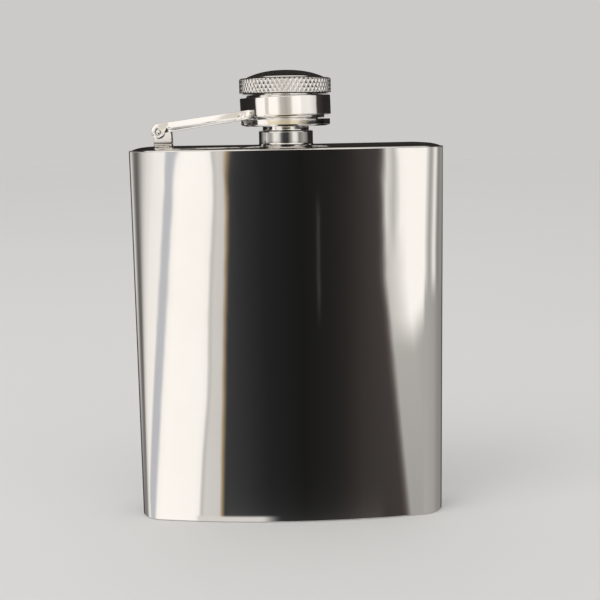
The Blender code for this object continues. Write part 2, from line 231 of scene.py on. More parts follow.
def steel(name, light, dark, rough, spread_rough, grain, grain_scale, depth, smudge_scale=45.0):
    """Steel with smudges, fine directional scratches (grain is their stretch) and tone drift."""
    material, tree, shader = nodes_of(name)
    coords = tree.nodes.new("ShaderNodeTexCoord").outputs["Object"]
    smudge = noise(tree, coords, smudge_scale, 6.0, rough=0.62, distortion=0.4)
    fine = noise(tree, coords, grain_scale, 3.0, stretch=grain)
    handling = noise(tree, coords, 900.0, 2.0, stretch=(1.0, 1.0, 0.25))
    tree.links.new(tint(tree, spread(tree, smudge, 0.3, 0.7, 0, 1), light, dark),
                   shader.inputs["Base Color"])
    base = spread(tree, smudge, 0.35, 0.7, rough, rough + spread_rough)
    marks = spread(tree, fine, 0.55, 0.8, 0.0, spread_rough)
    tree.links.new(combine(tree, base, marks), shader.inputs["Roughness"])
    height = combine(tree, fine, combine(tree, handling, 0.35, "MULTIPLY"))
    relief(tree, shader, height, depth)
    return material


MIRROR = steel("mirror_polish", (0.81, 0.80, 0.785), (0.79, 0.775, 0.755), 0.030, 0.022,
               (1.0, 1.0, 14.0), 260.0, 0.0000006)
PLATE = steel("plate_polish", (0.79, 0.775, 0.755), (0.76, 0.74, 0.715), 0.07, 0.05,
              (9.0, 1.0, 1.0), 320.0, 0.000002)
TURNED = steel("turned_bright", (0.78, 0.765, 0.745), (0.74, 0.72, 0.695), 0.10, 0.06,
               (0.6, 0.6, 16.0), 420.0, 0.000005)
NECK = steel("neck_polish", (0.81, 0.80, 0.785), (0.77, 0.755, 0.735), 0.045, 0.03,
             (0.6, 0.6, 16.0), 420.0, 0.0000012)
ARM = steel("arm_polish", (0.82, 0.81, 0.795), (0.79, 0.775, 0.755), 0.075, 0.05,
            (1.0, 1.0, 12.0), 300.0, 0.000003)
RING = steel("ring_polish", (0.82, 0.81, 0.795), (0.78, 0.765, 0.745), 0.055, 0.035,
             (0.7, 0.7, 18.0), 380.0, 0.000002)
KNURL = steel("knurl_steel", (0.79, 0.775, 0.755), (0.70, 0.68, 0.655), 0.16, 0.10,
              (1.0, 1.0, 3.0), 900.0, 0.000006, 160.0)
DOME = steel("dome_polish", (0.78, 0.765, 0.745), (0.75, 0.73, 0.70), 0.10, 0.07,
             (1.0, 1.0, 1.0), 700.0, 0.000003)
WELD = steel("weld_steel", (0.74, 0.72, 0.69), (0.62, 0.59, 0.56), 0.20, 0.12,
             (1.0, 1.0, 1.0), 1400.0, 0.000004, 300.0)


def silicone():
    material, tree, shader = nodes_of("silicone")
    shader.inputs["Metallic"].default_value = 0.0
    coords = tree.nodes.new("ShaderNodeTexCoord").outputs["Object"]
    cloud = noise(tree, coords, 350.0, 4.0)
    tree.links.new(tint(tree, cloud, (0.78, 0.76, 0.71), (0.66, 0.63, 0.58)),
                   shader.inputs["Base Color"])
    tree.links.new(spread(tree, cloud, 0.3, 0.7, 0.42, 0.6), shader.inputs["Roughness"])
    relief(tree, shader, noise(tree, coords, 2500.0, 2.0), 0.00002, 0.5)
    return material


RUBBER = silicone()


# ---------------------------------------------------------------- the body's section

def arc(centre, radius, start, end, steps):
    """(point, outward normal) pairs; angles run from -Y towards +X; a negative radius is hollow."""
    pairs = []
    for k in range(steps):
        a = start + (end - start) * k / steps
        normal = Vector((math.sin(a), -math.cos(a)))
        pairs.append((centre + abs(radius) * normal, normal if radius > 0 else -normal))
    return pairs


def section(long_steps=300, corner_steps=90):
    """The kidney outline, the middle of its front first, as points, normals and arc lengths."""
    back = FRONT_BEND - THICKNESS
    centre = Vector((0, BEND_CENTRE_Y))
    reach_front = FRONT_BEND - CORNER
    reach_back = back + CORNER
    turn_front = math.asin((HALF_WIDTH - CORNER) / reach_front)
    turn_end = turn_front + math.asin(CORNER / reach_front)
    turn_back = turn_end - math.asin(CORNER / reach_back)
    side = math.pi / 2 + turn_end

    def on(radius, a):
        return centre + radius * Vector((math.sin(a), -math.cos(a)))

    half = long_steps // 2
    pairs = arc(centre, FRONT_BEND, 0, turn_front, half)
    pairs += arc(on(reach_front, turn_front), CORNER, turn_front, side, corner_steps)
    pairs += arc(on(reach_back, turn_back), CORNER, side, math.pi + turn_back, corner_steps)
    pairs += arc(centre, -back, turn_back, -turn_back, long_steps)
    pairs += arc(on(reach_back, -turn_back), CORNER, math.pi - turn_back, 2 * math.pi - side,
                 corner_steps)
    pairs += arc(on(reach_front, -turn_front), CORNER, -side, -turn_front, corner_steps)
    pairs += arc(centre, FRONT_BEND, -turn_front, 0, half)
    points = np.array([tuple(p) for p, _ in pairs])
    normals = np.array([tuple(n) for _, n in pairs])
    gaps = np.linalg.norm(np.roll(points, -1, axis=0) - points, axis=1)
    lengths = np.concatenate([[0], np.cumsum(gaps)[:-1]])
    total = gaps.sum()
    lengths = np.where(lengths > total / 2, lengths - total, lengths)
    return points, normals, lengths


def ripple(s, z):
    """Height in mm of the faint waves that polishing and welding leave in the wall."""
    edge = np.exp(-(BODY_TOP - z) / 9.0)
    foot = np.exp(-z / 7.0)
    slow = 0.0045 * np.sin(s / 8.5 + 0.8 * np.sin(z / 23.0)) * np.sin(z / 19.0 + 0.6)
    slow += 0.0035 * np.sin(s / 5.2 + z / 31.0 + 1.1) * np.sin(z / 12.5 + s / 40.0)
    top = edge * (0.020 * np.sin(s / 3.9 + 2.1) + 0.014 * np.sin(s / 2.3 + z / 6.0))
    low = foot * 0.010 * np.sin(s / 4.4 + 0.7)
    fine = 0.0007 * np.sin(s / 0.9 + 3.0 * np.sin(z / 9.0)) * np.sin(z / 2.7)
    return slow + top + low + fine


def flask_wall():
    points, normals, lengths = section()
    skin = 0.03
    profile = [(0.85, 1.0), (0.85, 0.05), (0.7, 0.0), (0.45, 0.0), (0.28, 0.03), (0.13, 0.10),
               (0.04, 0.22), (0.0, 0.42)]
    profile += [(0.0, z) for z in np.linspace(1.2, BODY_TOP - 1.0, 150)]
    profile += [(0.0, BODY_TOP - 0.30), (0.0, BODY_TOP - 0.20), (0.02, BODY_TOP - 0.11),
                (0.06, BODY_TOP - 0.05), (0.12, BODY_TOP - 0.01), (0.20, BODY_TOP),
                (0.30, BODY_TOP), (0.85, BODY_TOP), (0.85, BODY_TOP - 1.5)]
    verts = []
    for inset, z in profile:
        wave = ripple(lengths, z) if inset < 0.5 else 0 * lengths
        out = points + normals * (wave - inset - skin)[:, None]
        verts += [(x, y, z) for x, y in out]
    return add("wall", verts, quads(len(profile), len(points), True, True), MIRROR)


def kidney_plate(name, profile, material):
    """A plate in the body's outline: profile is (inset, height), from its top middle outwards."""
    long_steps, corner = 160, 24
    points, normals, _ = section(long_steps, corner)
    n = len(points)
    verts = []
    for inset, z in profile:
        out = points - normals * inset
        verts += [(x, y, z) for x, y in out]
    faces = quads(len(profile), n, True, False)
    half = long_steps // 2
    for start in (0, (len(profile) - 1) * n):
        for k in range(-half, half):
            front = k % n
            front_next = (k + 1) % n
            back = (half + 2 * corner + half - k) % n
            back_next = (back - 1) % n
            faces.append((start + front, start + front_next, start + back_next, start + back))
        right = [start + half + k for k in range(2 * corner + 1)]
        left = [start + half + 2 * corner + long_steps + k for k in range(2 * corner + 1)]
        faces.append(tuple(right))
        faces.append(tuple(k if k < start + n else k - n for k in left))
    return add(name, verts, faces, material)


def flask_top():
    top = BODY_TOP
    flat, edge, steps = 8.2, 0.95, 14
    crown_start, crown_run, softness = 0.7, 7.5, 2.6
    profile = [(flat, top + CROWN)]
    for k in range(1, steps + 1):
        inset = flat - (flat - edge) * (k / steps) ** 0.8
        rise = (CROWN * (1 - math.exp(-(inset - crown_start) / softness))
                / (1 - math.exp(-crown_run / softness)))
        profile.append((inset, top + 0.02 + (rise if k < steps else rise * 0.8)))
    profile += [(0.86, top + 0.02), (0.78, top - 0.06), (0.78, top - 1.9), (2.0, top - 1.9),
                (2.2, top + 0.1), (flat, top + CROWN - 0.8)]
    plate = kidney_plate("crowned_top", profile, PLATE)
    bm = bmesh.new()
    bmesh.ops.create_cone(bm, cap_ends=True, segments=96, radius1=6.6 * MM, radius2=6.6 * MM,
                          depth=20 * MM)
    mesh = bpy.data.meshes.new("hole")
    bm.to_mesh(mesh)
    bm.free()
    cutter = bpy.data.objects.new("hole", mesh)
    cutter.location = (0, AXIS_Y * MM, top * MM)
    bpy.context.scene.collection.objects.link(cutter)
    cut = plate.modifiers.new("hole", "BOOLEAN")
    cut.object = cutter
    cut.operation = "DIFFERENCE"
    bpy.context.view_layer.update()
    apply_modifiers(plate)
    plate.data.shade_smooth()
    plate.data.set_sharp_from_angle(angle=math.radians(40))
    bpy.data.objects.remove(cutter, do_unlink=True)
    return plate


def flask_base():
    profile = [(8.2, 1.0), (0.80, 1.0), (0.80, 0.10), (0.95, 0.04), (1.3, 0.05), (2.2, 0.12),
               (3.4, 0.20), (5.0, 0.25), (8.2, 0.28)]
    return kidney_plate("welded_base", profile, PLATE)


# ---------------------------------------------------------------- neck

def helix(pitch, root, crest, low, high, top, fade=0.9):
    """A radius function: a rounded thread ridge on root between the heights low and high."""
    def shape(a, r, z):
        if abs(r - root) > 1e-6 or z < low - 0.5 or z > high + 0.5:
            return r
        turn = (z - top) / pitch - a / (2 * math.pi)
        t = turn - math.floor(turn)
        ridge = max(0.0, 1 - abs(t - 0.5) / 0.34)
        ridge = ridge * ridge * (3 - 2 * ridge)
        ends = min(1.0, max(0.0, (z - low) / fade)) * min(1.0, max(0.0, (high - z) / fade))
        return root + (crest - root) * ridge * ends
    return shape


def spout():
    b = BODY_TOP
    root = 6.9
    plate = b + CROWN
    collar = [(6.0, b - 1.2), (7.4, b - 1.2), (7.4, b + 0.2), (8.6, plate - 0.12),
              (8.42, plate + 0.01), (8.26, plate + 0.08), (8.16, plate + 0.2), (8.1, plate + 0.42),
              (8.1, plate + 0.6), (8.1, b + 4.85), (8.1, b + 5.0), (8.04, b + 5.18),
              (7.88, b + 5.29), (7.7, b + 5.31), (7.1, b + 5.32), (6.93, b + 5.42)]
    wall = [(root, z) for z in np.linspace(b + 5.65, b + 12.0, 84)]
    lip = [(6.86, b + 12.25), (6.72, b + 12.45), (6.55, b + 12.58), (6.35, b + 12.6),
           (6.15, b + 12.52), (6.03, b + 12.35), (6.0, b + 12.1)]
    bore = [(6.0, z) for z in np.linspace(b + 11.5, b - 1.0, 8)]
    shape = helix(1.8, root, 7.4, b + 6.3, b + 12.1, b + 12.0)
    return turned("spout", collar + wall + lip + bore, NECK, 200, shape)


# ---------------------------------------------------------------- bracket and rivet

def bracket():
    """A bent U of sheet; each loop runs round its cross-section, and the loops follow the U."""
    b = BODY_TOP
    foot = b + CROWN - 0.10
    half = 2.7
    crest = BRACKET_HIGH - half
    outer_y, sheet, bend = 2.2, 0.8, 1.0
    path = []
    for k in range(13):
        z = crest + half * math.cos(math.pi / 2 * k / 12)
        path.append((-outer_y, z, (-1.0, 0.0)))
    for k in range(1, 5):
        path.append((-outer_y, crest + (foot + bend - crest) * k / 4, (-1.0, 0.0)))
    for k in range(1, 9):
        a = math.pi / 2 * k / 8
        path.append((-outer_y + bend * (1 - math.cos(a)), foot + bend * (1 - math.sin(a)),
                     (-math.cos(a), -math.sin(a))))
    mirror = [(-y, z, (-ny, nz)) for y, z, (ny, nz) in path[::-1]]
    path = path + [(0.0, foot, (0.0, -1.0))] + mirror
    edge = 0.14
    loop = [(1, 0, edge), (1, edge, 0.3), (1, edge, 0), (-1, edge, 0), (-1, edge, 0.3),
            (-1, 0, edge), (-1, 0, 1 - edge), (-1, edge, 0.7), (-1, edge, 1), (1, edge, 1),
            (1, edge, 0.7), (1, 0, 1 - edge)]
    verts = []
    for y, z, (ny, nz) in path:
        over = max(0.0, z - crest)
        width = math.sqrt(max(half * half - over * over, 0.0004))
        for side, pull, depth in loop:
            x = BRACKET_X + side * max(width - pull, 0.01)
            inwards = depth * sheet
            verts.append((x, AXIS_Y + y - ny * inwards, z - nz * inwards))
    caps = [tuple(range(len(loop))), tuple(range(len(verts) - len(loop), len(verts)))]
    return add("hinge_ears", verts, quads(len(path), len(loop), True, False) + caps, TURNED)


def weld_bead(name, start, end, up, radius, material=WELD, squash=0.6):
    """A small weld: a lumpy rounded strip from start to end."""
    start, end, up = Vector(start), Vector(end), Vector(up).normalized()
    along = end - start
    side = along.cross(up).normalized()
    rings, steps = 26, 16
    verts = []
    for i in range(rings):
        t = i / (rings - 1)
        taper = math.sqrt(max(1 - (2 * t - 1) ** 6, 0.0))
        r = radius * taper * (1 + 0.05 * math.sin(19 * t) + 0.03 * math.sin(41 * t + 1)) + 0.003
        for j in range(steps):
            a = 2 * math.pi * j / steps
            p = start + along * t + side * r * math.cos(a) + up * r * squash * math.sin(a)
            verts.append(tuple(p))
    caps = [tuple(range(steps)), tuple(range(len(verts) - steps, len(verts)))]
    return add(name, verts, quads(rings, steps, True, False) + caps, material)


def rivet():
    seat = 3.3
    head = [(0.0, seat + 0.36), (0.20, seat + 0.355), (0.40, seat + 0.33), (0.56, seat + 0.28),
            (0.68, seat + 0.20), (0.76, seat + 0.08), (0.78, seat - 0.04), (0.78, seat - 0.62),
            (0.62, seat - 0.66)]
    shank = [(0.62, z) for z in (2.0, 1.0, 0.0, -1.0, -2.0)]
    tail = [(r, -z) for r, z in head[::-1]]
    steps = 48
    verts = []
    for r, h in head + shank + tail:
        for j in range(steps):
            a = 2 * math.pi * j / steps
            dent = 1 + (0.03 * math.sin(3 * a + 1) + 0.02 * math.sin(7 * a)) * (r > 0.5)
            verts.append((PIVOT_X + r * dent * math.cos(a), AXIS_Y - h,
                          PIVOT_Z + r * dent * math.sin(a)))
    rows = len(head) * 2 + len(shank)
    return add("peened_rivet", verts, quads(rows, steps, True, False), TURNED)


# ---------------------------------------------------------------- arm

ARM_SLOPE = math.radians(7.7)
ARM_OFFSET = 1.05
ARM_DEPTH = 2.9
ARM_TIP_DEPTH = 2.55
EYE = 2.0
EYE_SHOULDER = 0.3
LEG_NEAR = 3.3
LEG_FAR = 10.1
BEND_X = -34.2
END_X = -10.4


def arm_height(x):
    """Height of a leg's middle line at x."""
    return PIVOT_Z + (x - PIVOT_X) * math.tan(ARM_SLOPE) + ARM_OFFSET / math.cos(ARM_SLOPE)


def leg_y(x):
    """Distance of a leg's outer face from the cap's line, with a soft bend."""
    share = (x - BEND_X) / (END_X - BEND_X)
    slope = (LEG_FAR - LEG_NEAR) / (END_X - BEND_X)
    soft = 1.1
    t = x - BEND_X
    if t <= -soft:
        return LEG_NEAR
    if t >= soft:
        return LEG_NEAR + share * (LEG_FAR - LEG_NEAR)
    return LEG_NEAR + slope * (t + soft) ** 2 / (4 * soft)


def cut_planes(thing, places):
    bm = bmesh.new()
    bm.from_mesh(thing.data)
    for x in places:
        bmesh.ops.bisect_plane(bm, geom=bm.verts[:] + bm.edges[:] + bm.faces[:], dist=1e-7,
                               plane_co=(x * MM, 0, 0), plane_no=(1, 0, 0))
    bm.to_mesh(thing.data)
    bm.free()


def cylinder_y(radius, length, x, y, z):
    bm = bmesh.new()
    turn = Matrix.Rotation(math.pi / 2, 4, "X")
    bmesh.ops.create_cone(bm, cap_ends=True, segments=64, radius1=radius * MM,
                          radius2=radius * MM, depth=length * MM, matrix=turn)
    mesh = bpy.data.meshes.new("cutter")
    bm.to_mesh(mesh)
    bm.free()
    thing = bpy.data.objects.new("cutter", mesh)
    thing.location = (x * MM, y * MM, z * MM)
    bpy.context.scene.collection.objects.link(thing)
    return thing


def ball(radius, x, y, z):
    bm = bmesh.new()
    bmesh.ops.create_uvsphere(bm, u_segments=48, v_segments=32, radius=radius * MM)
    mesh = bpy.data.meshes.new("cutter")
    bm.to_mesh(mesh)
    bm.free()
    thing = bpy.data.objects.new("cutter", mesh)
    thing.location = (x * MM, y * MM, z * MM)
    bpy.context.scene.collection.objects.link(thing)
    return thing


def leg(name, side):
    """One flat leg, cut from sheet in the XZ plane, pierced, its edges broken, then bent."""
    sheet = 0.8
    half = ARM_DEPTH / 2 / math.cos(ARM_SLOPE)
    crest = ARM_OFFSET + ARM_DEPTH / 2
    drop = math.asin((ARM_DEPTH / 2 - ARM_OFFSET) / EYE)
    steps = 30
    turned_points = []
    for k in range(steps):
        a = math.pi / 2 * k / steps
        turned_points.append((EYE_SHOULDER - (EYE_SHOULDER + EYE) * math.sin(a),
                              crest * math.cos(a)))
    for k in range(steps + 1):
        a = math.pi + (math.pi - drop) * k / steps
        turned_points.append((EYE * math.cos(a), EYE * math.sin(a)))
    cos, sin = math.cos(ARM_SLOPE), math.sin(ARM_SLOPE)
    outline = [(PIVOT_X + along * cos - up * sin, PIVOT_Z + along * sin + up * cos)
               for along, up in turned_points]
    corner = 0.16
    bend = arm_height(BEND_X)
    end = arm_height(END_X)
    half_end = ARM_TIP_DEPTH / 2 / math.cos(ARM_SLOPE)
    outline += [(BEND_X, bend - half), (END_X - corner, end - half_end - 0.02),
                (END_X, end - half_end + corner), (END_X, end + half_end - corner),
                (END_X - corner, end + half_end - 0.02), (BEND_X, bend + half)]
    n = len(outline)
    verts = [(x, 0.0, z) for x, z in outline] + [(x, sheet, z) for x, z in outline]
    faces = [tuple(range(n)), tuple(range(n, 2 * n))]
    faces += [(k, (k + 1) % n, n + (k + 1) % n, n + k) for k in range(n)]
    thing = add(name, verts, faces, ARM)
    hole = cylinder_y(0.90, 4.0, PIVOT_X, 0.4, PIVOT_Z)
    mark_x = END_X - 2.9
    mark = ball(0.9, mark_x, -0.76, arm_height(mark_x) - 0.25)
    for word, cutter in (("eye", hole), ("mark", mark)):
        cut = thing.modifiers.new(word, "BOOLEAN")
        cut.object = cutter
        cut.operation = "DIFFERENCE"
    soft = thing.modifiers.new("edges", "BEVEL")
    soft.width = 0.13 * MM
    soft.segments = 3
    soft.limit_method = "ANGLE"
    soft.angle_limit = math.radians(40)
    bpy.context.view_layer.update()
    apply_modifiers(thing)
    bpy.data.objects.remove(hole, do_unlink=True)
    bpy.data.objects.remove(mark, do_unlink=True)
    near_bend = [BEND_X + 1.2 * (k / 6 - 1) for k in range(13)]
    along_leg = [BEND_X + 1.6 + k * 1.5 for k in range(14)]
    cut_planes(thing, near_bend + along_leg)
    for v in thing.data.vertices:
        out = leg_y(v.co.x / MM)
        y = v.co.y / MM
        v.co.y = (AXIS_Y - side * (out - y)) * MM
    bm = bmesh.new()
    bm.from_mesh(thing.data)
    bmesh.ops.recalc_face_normals(bm, faces=bm.faces)
    bm.to_mesh(thing.data)
    bm.free()
    thing.data.shade_smooth()
    thing.data.set_sharp_from_angle(angle=math.radians(50))
    return thing


def web():
    """The bridge between the legs near the hinge, its free edge hollowed."""
    start, end = -32.6, -23.5
    inside = 0.45
    rows = []
    for k in range(25):
        t = 2 * k / 24 - 1
        near = start + 0.3 * (1 - t * t)
        far = end - 3.0 * math.sqrt(max(1 - t * t, 0.0))
        rows.append((t, near, far))
    verts = []
    columns = 12
    for t, near, far in rows:
        for j in range(columns):
            x = near + (far - near) * j / (columns - 1)
            y = AXIS_Y + t * (leg_y(x) - inside)
            z = arm_height(x) + 1.35 / math.cos(ARM_SLOPE)
            verts.append((x, y, z))
    thing = add("arm_web", verts, quads(len(rows), columns, False, False), ARM)
    shell = thing.modifiers.new("sheet", "SOLIDIFY")
    shell.thickness = 0.75 * MM
    shell.offset = -1.0
    soft = thing.modifiers.new("edges", "BEVEL")
    soft.width = 0.12 * MM
    soft.segments = 3
    soft.limit_method = "ANGLE"
    soft.angle_limit = math.radians(40)
    bm = bmesh.new()
    bm.from_mesh(thing.data)
    if sum(f.normal.z for f in bm.faces) < 0:
        bmesh.ops.reverse_faces(bm, faces=bm.faces)
    bm.to_mesh(thing.data)
    bm.free()
    return apply_modifiers(thing)


RING_TILT = math.radians(1.7)


def tilted(thing):
    """Turns a piece about Y through the ring's centre, the left side down."""
    centre = Vector((0, AXIS_Y, RING_Z)) * MM
    turn = Matrix.Rotation(-RING_TILT, 4, "Y")
    thing.data.transform(Matrix.Translation(centre) @ turn @ Matrix.Translation(-centre))
    return thing


def cap_ring():
    h = 2.9
    profile = fillet([(12.2, h), (13.5, h), (13.5, -h), (12.2, -h)], [0.12, 0.30, 0.30, 0.12], 6)
    dense = []
    for (r0, z0), (r1, z1) in zip(profile, profile[1:] + profile[:1]):
        cuts = max(1, int(math.hypot(r1 - r0, z1 - z0) / 0.4))
        dense += [(r0 + (r1 - r0) * k / cuts, z0 + (z1 - z0) * k / cuts) for k in range(cuts)]

    def shape(a, r, z):
        if r < 12.9:
            return r
        return r + 0.004 * math.sin(5 * a + z) + 0.003 * math.sin(11 * a + 1.7 * z + 2)

    return tilted(turned("cap_ring", dense, RING, 240, shape, (0.0, None, RING_Z)))


# ---------------------------------------------------------------- cap

def knurl_shape(low, high, crest):
    around, tall, depth = 62, 2.36, 0.34

    def shape(a, r, z):
        if abs(r - crest) > 1e-6:
            return r
        up = (z - low) / tall
        u = around * a / (2 * math.pi) + up
        v = around * a / (2 * math.pi) - up
        deep = 1.0
        for t in (u, v):
            from_ridge = 1 - 2 * abs(t - math.floor(t) - 0.5)
            deep = min(deep, max(0.0, (from_ridge - 0.16) / 0.84))
        deep = deep * (1.6 - 0.6 * deep)
        ends = min(1.0, max(0.0, (z - low) / 0.25)) * min(1.0, max(0.0, (high - z) / 0.25))
        wear = 0.03 * (1 - deep) * math.sin(3 * a + 0.5)
        return r - 0.04 - depth * deep * ends + wear * 0.3
    return shape


def knurled_head():
    crest = 13.7
    low, high = HEAD_LOW + 0.30, KNURL_HIGH - 0.30
    fall, edge_r = 2.1, 11.4
    dome = []
    for k in range(30):
        share = 0.995 * k / 29
        dome.append((max(edge_r * share, 0.002), HEAD_HIGH - fall * share ** 2.4))
    top = KNURL_HIGH
    rim = [(11.40, top + 0.26), (11.44, top + 0.20), (11.45, top + 0.10), (11.49, top + 0.04),
           (11.58, top + 0.01), (11.8, top), (12.2, top), (12.9, top - 0.01), (13.25, top - 0.05),
           (13.42, top - 0.18)]
    band = [(crest, z) for z in np.linspace(high, low, 56)]
    foot = HEAD_LOW
    under = [(13.42, foot + 0.16), (13.25, foot + 0.04), (12.9, foot), (10.0, foot),
             (10.0, foot + 2.6), (0.002, foot + 2.6)]
    head = turned("knurled_head", dome + rim + band + under, KNURL, 868,
                  knurl_shape(low, high, crest), close=False)
    head.data.materials.append(DOME)
    for face in head.data.polygons:
        if face.center.z / MM > KNURL_HIGH - 0.1:
            face.material_index = 1
    return head


def socket():
    b = BODY_TOP
    top = HEAD_LOW - 0.3
    shoulder = FLANGE_HIGH + 0.3
    mouth = FLANGE_LOW + 0.3
    outer = [(0.002, top + 2.5), (9.5, top + 2.5), (9.7, top + 2.3), (9.7, top), (11.4, top),
             (11.6, top - 0.2), (11.6, shoulder + 0.2), (11.4, shoulder), (9.7, shoulder),
             (9.7, mouth + 0.1), (9.6, mouth), (8.8, mouth), (8.64, mouth + 0.15)]
    wall = [(8.6, z) for z in np.linspace(mouth + 0.3, b + 12.4, 74)]
    roof = [(8.6, b + 12.6), (8.7, b + 12.7), (9.0, b + 12.72), (9.0, b + 14.2), (0.002, b + 14.2)]
    shape = helix(1.8, 8.6, 8.1, mouth + 0.5, b + 12.2, b + 12.0)
    return turned("threaded_socket", outer + wall + roof, TURNED, 160, shape, close=False)


def flange():
    bore, outer = 9.95, 13.3
    low, high = FLANGE_LOW, FLANGE_HIGH
    profile = fillet([(bore, high), (outer, high), (outer, low + 0.42), (12.95, low),
                      (bore, low)], [0.05, 0.18, 0.16, 0.3, 0.25], 7)
    profile[16:16] = [(outer, high - 0.2), (outer, low + 0.55)]

    def shape(a, r, z):
        return r + (0.006 * math.sin(4 * a + 1) if r > 12.6 else 0.0)

    return turned("ring_keeper", profile, RING, 220, shape)


def gasket():
    b = BODY_TOP
    low, high = b + 12.9, b + 13.9
    profile = [(0.002, high), (8.5, high), (8.66, high - 0.06), (8.7, high - 0.2), (8.7, low + 0.2),
               (8.66, low + 0.06), (8.5, low), (7.3, low), (7.05, low + 0.05), (6.85, low + 0.14),
               (6.3, low + 0.16), (6.05, low + 0.12), (5.85, low + 0.03), (5.6, low), (0.002, low)]
    return turned("seal_disc", profile, RUBBER, 120, close=False)


# ---------------------------------------------------------------- build the object

def place(thing, body, slot, *nodes):
    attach(thing, body)
    if nodes:
        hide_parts(*nodes)


place(flask_wall(), "flask", "polished_steel", "body_shell")
place(flask_top(), "flask", "polished_steel", "top_plate")
place(flask_base(), "flask", "polished_steel", "base_plate")
place(spout(), "flask", "turned_steel", "neck")
place(bracket(), "flask", "turned_steel", "hinge_bracket")
for side, word in ((-1, "front"), (1, "rear")):
    foot_z = BODY_TOP + CROWN + 0.02
    y = AXIS_Y + side * 2.15
    bead = weld_bead("bracket_weld_" + word, (PIVOT_X - 1.5, y, foot_z), (PIVOT_X + 3.3, y, foot_z),
                     (0, 0, 1), 0.34)
    place(bead, "flask", "turned_steel")
place(rivet(), "flask", "turned_steel", "hinge_rivet")

front_leg = leg("arm_leg_front", 1)
place(front_leg, "arm", "arm_steel", "swing_arm")
place(leg("arm_leg_rear", -1), "arm", "arm_steel")
place(web(), "arm", "arm_steel")
place(cap_ring(), "arm", "arm_steel", "captive_ring")
for side, word in ((-1, "front"), (1, "rear")):
    x = END_X - 0.05
    middle = arm_height(x)
    y = AXIS_Y + side * (LEG_FAR - 1.12)
    bead = weld_bead("arm_weld_" + word, (x, y, middle - 1.3), (x, y, middle + 1.3),
                     (0.5, side, 0), 0.55, ARM, 0.7)
    place(bead, "arm", "arm_steel")

place(knurled_head(), "cap", "knurled_steel", "cap_head")
place(socket(), "cap", "turned_steel", "cap_barrel")
place(flange(), "cap", "arm_steel", "cap_flange")
place(gasket(), "cap", "gasket_rubber", "cap_gasket")


# ---------------------------------------------------------------- studio, and painted reflections seen only in the steel

# Tints of the painted reflections below; STEEL is the steel's own colour, FAR_TONE the plain
# backdrop.
WHITE = np.array((1.0, 0.978, 0.950))
COOL = np.array((0.985, 0.985, 1.0))
GOLD = np.array((1.0, 0.86, 0.66))
BROWN = np.array((1.0, 0.92, 0.88))
CREAM = np.array((1.0, 0.965, 0.915))
STRAW = np.array((1.0, 0.935, 0.79))
STEEL = np.array((0.80, 0.79, 0.775))
FAR_TONE = (0.600, 0.592, 0.578)


def to_light(tone):
    """Emission that a steel mirror shows as this display tone, 0 to 1 for each channel."""
    tone = np.clip(tone, 0.0, 1.0)
    linear = np.where(tone <= 0.04045, tone / 12.92, ((tone + 0.055) / 1.055) ** 2.4)
    return linear / STEEL


def painted_reflection_strips(z):
    """Painted reflection strips of the tent at a height z of the wall: (place along the wall, tone,
    colour).
    """
    line = -44.8 + 0.0926 * z
    panel = -29.2 + 0.072 * z + 0.8 * math.exp(-((z - 42.0) / 18.0) ** 2)
    screen = -22.3 + 0.043 * z
    slit = 28.0 + 0.10 * max(0.0, 76.0 - z)
    rim = -45.2 + 0.0005 * z * z
    gap = -47.3 + 0.0155 * z
    rise = rim - gap - 0.4
    glow = 0.50 + 0.34 * min(1.0, z / 75.0)
    gap_tone = 0.50 - 0.12 * min(1.0, z / 60.0)
    shift = 0.022 * max(0.0, z - 85.0)
    strips = [(-51.5, 0.15, BROWN), (-49.7, 0.22, BROWN), (-48.9, 0.75 * glow, WHITE),
              (-48.3, glow, WHITE), (-47.6, 0.86 * glow, WHITE),
              (gap - 0.5, gap_tone + 0.03, WHITE),
              (gap + 0.4, gap_tone, WHITE), (gap + 0.4 + 0.36 * rise, 0.745, WHITE),
              (gap + 0.4 + 0.58 * rise, 0.85, WHITE), (rim, 0.925, WHITE),
              (line - 1.7, 0.945, WHITE), (line - 0.9, 0.735, COOL),
              (line + 0.9, 0.74, COOL), (line + 1.9, 0.965, WHITE), (line + 3.5, 0.985, WHITE),
              (panel - 2.0, 0.972, WHITE), (panel - 0.4, 0.95, WHITE), (panel + 0.5, 0.735, WHITE),
              (panel + 1.6, 0.80, WHITE), (screen - 0.6, 0.785, WHITE), (screen + 0.2, 0.60, GOLD),
              (screen + 1.2, 0.225, COOL), (-14.5, 0.19, COOL), (-7.0, 0.135, COOL),
              (4.0, 0.10, WHITE), (12.0, 0.125, WHITE), (17.0, 0.16, BROWN), (22.0, 0.21, BROWN),
              (slit - 1.2, 0.25, BROWN), (slit, 0.34, BROWN)]
    return strips, slit, shift


